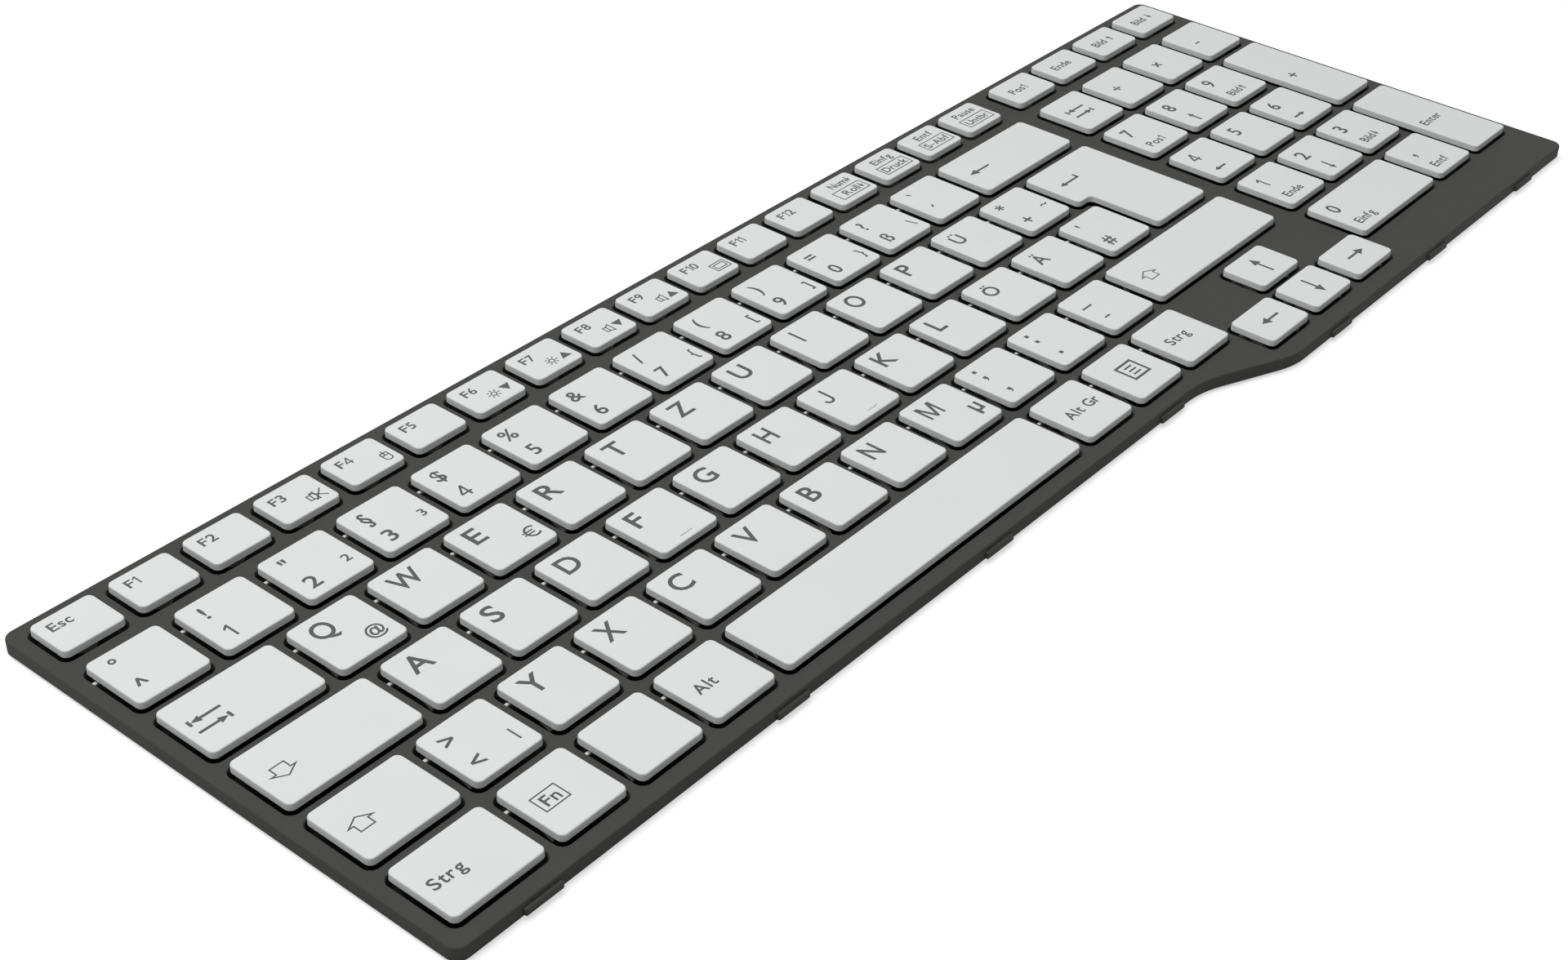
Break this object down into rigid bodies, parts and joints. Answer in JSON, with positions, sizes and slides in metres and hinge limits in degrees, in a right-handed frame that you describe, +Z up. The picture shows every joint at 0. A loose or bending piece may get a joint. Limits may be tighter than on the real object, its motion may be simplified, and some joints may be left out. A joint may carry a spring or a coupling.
{
  "type": "laptop replacement keyboard",
  "caption": "Flat laptop keyboard module: pale low island keys in a dark grey moulded bezel with a stepped front edge and clip tabs, on a thin steel plate, with sprung keycaps that press down.",
  "frame": {"origin": "under the middle of the module, on the underside of its plate", "axes": "+X along the key rows to the right, +Y to the back edge, +Z up out of the keycaps"},
  "size_m": [0.3586, 0.1216, 0.0056],
  "materials": {
    "keycap": "fine matt texture",
    "bezel": "fine spark-eroded grain",
    "plate": "rolled zinc-coated sheet",
    "membrane": "smooth film",
    "dome": "satin silicone",
    "lever": "moulded acetal",
    "wire": "drawn wire"
  },
  "bodies": {
    "module": {"base_plate": "plate", "bezel_frame": "bezel", "fixed_keycaps": "keycap", "inner_levers": "lever", "membrane_sheet": "membrane", "outer_levers": "lever", "rubber_domes": "dome", "stabiliser_bars": "wire"},
    "key_a": {"key_a": "keycap"},
    "key_a_umlaut": {"key_a_umlaut": "keycap"},
    "key_angle": {"key_angle": "keycap"},
    "key_arrow_down": {"key_arrow_down": "keycap"},
    "key_arrow_left": {"key_arrow_left": "keycap"},
    "key_arrow_right": {"key_arrow_right": "keycap"},
    "key_arrow_up": {"key_arrow_up": "keycap"},
    "key_b": {"key_b": "keycap"},
    "key_c": {"key_c": "keycap"},
    "key_caps_lock": {"key_caps_lock": "keycap"},
    "key_comma": {"key_comma": "keycap"},
    "key_d": {"key_d": "keycap"},
    "key_e": {"key_e": "keycap"},
    "key_enter": {"key_enter": "keycap"},
    "key_f": {"key_f": "keycap"},
    "key_fn": {"key_fn": "keycap"},
    "key_g": {"key_g": "keycap"},
    "key_h": {"key_h": "keycap"},
    "key_hash": {"key_hash": "keycap"},
    "key_i": {"key_i": "keycap"},
    "key_j": {"key_j": "keycap"},
    "key_k": {"key_k": "keycap"},
    "key_l": {"key_l": "keycap"},
    "key_left_alt": {"key_left_alt": "keycap"},
    "key_left_ctrl": {"key_left_ctrl": "keycap"},
    "key_left_shift": {"key_left_shift": "keycap"},
    "key_m": {"key_m": "keycap"},
    "key_menu": {"key_menu": "keycap"},
    "key_minus": {"key_minus": "keycap"},
    "key_n": {"key_n": "keycap"},
    "key_o": {"key_o": "keycap"},
    "key_o_umlaut": {"key_o_umlaut": "keycap"},
    "key_p": {"key_p": "keycap"},
    "key_period": {"key_period": "keycap"},
    "key_plus": {"key_plus": "keycap"},
    "key_q": {"key_q": "keycap"},
    "key_r": {"key_r": "keycap"},
    "key_right_alt": {"key_right_alt": "keycap"},
    "key_right_ctrl": {"key_right_ctrl": "keycap"},
    "key_right_shift": {"key_right_shift": "keycap"},
    "key_s": {"key_s": "keycap"},
    "key_space": {"key_space": "keycap"},
    "key_system": {"key_system": "keycap"},
    "key_t": {"key_t": "keycap"},
    "key_tab": {"key_tab": "keycap"},
    "key_u": {"key_u": "keycap"},
    "key_u_umlaut": {"key_u_umlaut": "keycap"},
    "key_v": {"key_v": "keycap"},
    "key_w": {"key_w": "keycap"},
    "key_x": {"key_x": "keycap"},
    "key_y": {"key_y": "keycap"},
    "key_z": {"key_z": "keycap"}
  },
  "joints": [
    {"name": "press_a", "type": "slide", "parent": "module", "child": "key_a", "axis": [0, 0, -1], "range_m": [0, 0.0017], "stiffness_N_per_m": 250, "springref_m": -0.0008},
    {"name": "press_a_umlaut", "type": "slide", "parent": "module", "child": "key_a_umlaut", "axis": [0, 0, -1], "range_m": [0, 0.0017], "stiffness_N_per_m": 250, "springref_m": -0.0008},
    {"name": "press_angle", "type": "slide", "parent": "module", "child": "key_angle", "axis": [0, 0, -1], "range_m": [0, 0.0017], "stiffness_N_per_m": 250, "springref_m": -0.0008},
    {"name": "press_arrow_down", "type": "slide", "parent": "module", "child": "key_arrow_down", "axis": [0, 0, -1], "range_m": [0, 0.0017], "stiffness_N_per_m": 250, "springref_m": -0.0008},
    {"name": "press_arrow_left", "type": "slide", "parent": "module", "child": "key_arrow_left", "axis": [0, 0, -1], "range_m": [0, 0.0017], "stiffness_N_per_m": 250, "springref_m": -0.0008},
    {"name": "press_arrow_right", "type": "slide", "parent": "module", "child": "key_arrow_right", "axis": [0, 0, -1], "range_m": [0, 0.0017], "stiffness_N_per_m": 250, "springref_m": -0.0008},
    {"name": "press_arrow_up", "type": "slide", "parent": "module", "child": "key_arrow_up", "axis": [0, 0, -1], "range_m": [0, 0.0017], "stiffness_N_per_m": 250, "springref_m": -0.0008},
    {"name": "press_b", "type": "slide", "parent": "module", "child": "key_b", "axis": [0, 0, -1], "range_m": [0, 0.0017], "stiffness_N_per_m": 250, "springref_m": -0.0008},
    {"name": "press_c", "type": "slide", "parent": "module", "child": "key_c", "axis": [0, 0, -1], "range_m": [0, 0.0017], "stiffness_N_per_m": 250, "springref_m": -0.0008},
    {"name": "press_caps_lock", "type": "slide", "parent": "module", "child": "key_caps_lock", "axis": [0, 0, -1], "range_m": [0, 0.0017], "stiffness_N_per_m": 250, "springref_m": -0.0008},
    {"name": "press_comma", "type": "slide", "parent": "module", "child": "key_comma", "axis": [0, 0, -1], "range_m": [0, 0.0017], "stiffness_N_per_m": 250, "springref_m": -0.0008},
    {"name": "press_d", "type": "slide", "parent": "module", "child": "key_d", "axis": [0, 0, -1], "range_m": [0, 0.0017], "stiffness_N_per_m": 250, "springref_m": -0.0008},
    {"name": "press_e", "type": "slide", "parent": "module", "child": "key_e", "axis": [0, 0, -1], "range_m": [0, 0.0017], "stiffness_N_per_m": 250, "springref_m": -0.0008},
    {"name": "press_enter", "type": "slide", "parent": "module", "child": "key_enter", "axis": [0, 0, -1], "range_m": [0, 0.0017], "stiffness_N_per_m": 250, "springref_m": -0.0008},
    {"name": "press_f", "type": "slide", "parent": "module", "child": "key_f", "axis": [0, 0, -1], "range_m": [0, 0.0017], "stiffness_N_per_m": 250, "springref_m": -0.0008},
    {"name": "press_fn", "type": "slide", "parent": "module", "child": "key_fn", "axis": [0, 0, -1], "range_m": [0, 0.0017], "stiffness_N_per_m": 250, "springref_m": -0.0008},
    {"name": "press_g", "type": "slide", "parent": "module", "child": "key_g", "axis": [0, 0, -1], "range_m": [0, 0.0017], "stiffness_N_per_m": 250, "springref_m": -0.0008},
    {"name": "press_h", "type": "slide", "parent": "module", "child": "key_h", "axis": [0, 0, -1], "range_m": [0, 0.0017], "stiffness_N_per_m": 250, "springref_m": -0.0008},
    {"name": "press_hash", "type": "slide", "parent": "module", "child": "key_hash", "axis": [0, 0, -1], "range_m": [0, 0.0017], "stiffness_N_per_m": 250, "springref_m": -0.0008},
    {"name": "press_i", "type": "slide", "parent": "module", "child": "key_i", "axis": [0, 0, -1], "range_m": [0, 0.0017], "stiffness_N_per_m": 250, "springref_m": -0.0008},
    {"name": "press_j", "type": "slide", "parent": "module", "child": "key_j", "axis": [0, 0, -1], "range_m": [0, 0.0017], "stiffness_N_per_m": 250, "springref_m": -0.0008},
    {"name": "press_k", "type": "slide", "parent": "module", "child": "key_k", "axis": [0, 0, -1], "range_m": [0, 0.0017], "stiffness_N_per_m": 250, "springref_m": -0.0008},
    {"name": "press_l", "type": "slide", "parent": "module", "child": "key_l", "axis": [0, 0, -1], "range_m": [0, 0.0017], "stiffness_N_per_m": 250, "springref_m": -0.0008},
    {"name": "press_left_alt", "type": "slide", "parent": "module", "child": "key_left_alt", "axis": [0, 0, -1], "range_m": [0, 0.0017], "stiffness_N_per_m": 250, "springref_m": -0.0008},
    {"name": "press_left_ctrl", "type": "slide", "parent": "module", "child": "key_left_ctrl", "axis": [0, 0, -1], "range_m": [0, 0.0017], "stiffness_N_per_m": 250, "springref_m": -0.0008},
    {"name": "press_left_shift", "type": "slide", "parent": "module", "child": "key_left_shift", "axis": [0, 0, -1], "range_m": [0, 0.0017], "stiffness_N_per_m": 250, "springref_m": -0.0008},
    {"name": "press_m", "type": "slide", "parent": "module", "child": "key_m", "axis": [0, 0, -1], "range_m": [0, 0.0017], "stiffness_N_per_m": 250, "springref_m": -0.0008},
    {"name": "press_menu", "type": "slide", "parent": "module", "child": "key_menu", "axis": [0, 0, -1], "range_m": [0, 0.0017], "stiffness_N_per_m": 250, "springref_m": -0.0008},
    {"name": "press_minus", "type": "slide", "parent": "module", "child": "key_minus", "axis": [0, 0, -1], "range_m": [0, 0.0017], "stiffness_N_per_m": 250, "springref_m": -0.0008},
    {"name": "press_n", "type": "slide", "parent": "module", "child": "key_n", "axis": [0, 0, -1], "range_m": [0, 0.0017], "stiffness_N_per_m": 250, "springref_m": -0.0008},
    {"name": "press_o", "type": "slide", "parent": "module", "child": "key_o", "axis": [0, 0, -1], "range_m": [0, 0.0017], "stiffness_N_per_m": 250, "springref_m": -0.0008},
    {"name": "press_o_umlaut", "type": "slide", "parent": "module", "child": "key_o_umlaut", "axis": [0, 0, -1], "range_m": [0, 0.0017], "stiffness_N_per_m": 250, "springref_m": -0.0008},
    {"name": "press_p", "type": "slide", "parent": "module", "child": "key_p", "axis": [0, 0, -1], "range_m": [0, 0.0017], "stiffness_N_per_m": 250, "springref_m": -0.0008},
    {"name": "press_period", "type": "slide", "parent": "module", "child": "key_period", "axis": [0, 0, -1], "range_m": [0, 0.0017], "stiffness_N_per_m": 250, "springref_m": -0.0008},
    {"name": "press_plus", "type": "slide", "parent": "module", "child": "key_plus", "axis": [0, 0, -1], "range_m": [0, 0.0017], "stiffness_N_per_m": 250, "springref_m": -0.0008},
    {"name": "press_q", "type": "slide", "parent": "module", "child": "key_q", "axis": [0, 0, -1], "range_m": [0, 0.0017], "stiffness_N_per_m": 250, "springref_m": -0.0008},
    {"name": "press_r", "type": "slide", "parent": "module", "child": "key_r", "axis": [0, 0, -1], "range_m": [0, 0.0017], "stiffness_N_per_m": 250, "springref_m": -0.0008},
    {"name": "press_right_alt", "type": "slide", "parent": "module", "child": "key_right_alt", "axis": [0, 0, -1], "range_m": [0, 0.0017], "stiffness_N_per_m": 250, "springref_m": -0.0008},
    {"name": "press_right_ctrl", "type": "slide", "parent": "module", "child": "key_right_ctrl", "axis": [0, 0, -1], "range_m": [0, 0.0017], "stiffness_N_per_m": 250, "springref_m": -0.0008},
    {"name": "press_right_shift", "type": "slide", "parent": "module", "child": "key_right_shift", "axis": [0, 0, -1], "range_m": [0, 0.0017], "stiffness_N_per_m": 250, "springref_m": -0.0008},
    {"name": "press_s", "type": "slide", "parent": "module", "child": "key_s", "axis": [0, 0, -1], "range_m": [0, 0.0017], "stiffness_N_per_m": 250, "springref_m": -0.0008},
    {"name": "press_space", "type": "slide", "parent": "module", "child": "key_space", "axis": [0, 0, -1], "range_m": [0, 0.0017], "stiffness_N_per_m": 250, "springref_m": -0.0008, "deforming": ["rubber_domes", "outer_levers", "inner_levers", "stabiliser_bars"]},
    {"name": "press_system", "type": "slide", "parent": "module", "child": "key_system", "axis": [0, 0, -1], "range_m": [0, 0.0017], "stiffness_N_per_m": 250, "springref_m": -0.0008},
    {"name": "press_t", "type": "slide", "parent": "module", "child": "key_t", "axis": [0, 0, -1], "range_m": [0, 0.0017], "stiffness_N_per_m": 250, "springref_m": -0.0008},
    {"name": "press_tab", "type": "slide", "parent": "module", "child": "key_tab", "axis": [0, 0, -1], "range_m": [0, 0.0017], "stiffness_N_per_m": 250, "springref_m": -0.0008},
    {"name": "press_u", "type": "slide", "parent": "module", "child": "key_u", "axis": [0, 0, -1], "range_m": [0, 0.0017], "stiffness_N_per_m": 250, "springref_m": -0.0008},
    {"name": "press_u_umlaut", "type": "slide", "parent": "module", "child": "key_u_umlaut", "axis": [0, 0, -1], "range_m": [0, 0.0017], "stiffness_N_per_m": 250, "springref_m": -0.0008},
    {"name": "press_v", "type": "slide", "parent": "module", "child": "key_v", "axis": [0, 0, -1], "range_m": [0, 0.0017], "stiffness_N_per_m": 250, "springref_m": -0.0008},
    {"name": "press_w", "type": "slide", "parent": "module", "child": "key_w", "axis": [0, 0, -1], "range_m": [0, 0.0017], "stiffness_N_per_m": 250, "springref_m": -0.0008},
    {"name": "press_x", "type": "slide", "parent": "module", "child": "key_x", "axis": [0, 0, -1], "range_m": [0, 0.0017], "stiffness_N_per_m": 250, "springref_m": -0.0008},
    {"name": "press_y", "type": "slide", "parent": "module", "child": "key_y", "axis": [0, 0, -1], "range_m": [0, 0.0017], "stiffness_N_per_m": 250, "springref_m": -0.0008},
    {"name": "press_z", "type": "slide", "parent": "module", "child": "key_z", "axis": [0, 0, -1], "range_m": [0, 0.0017], "stiffness_N_per_m": 250, "springref_m": -0.0008}
  ]
}
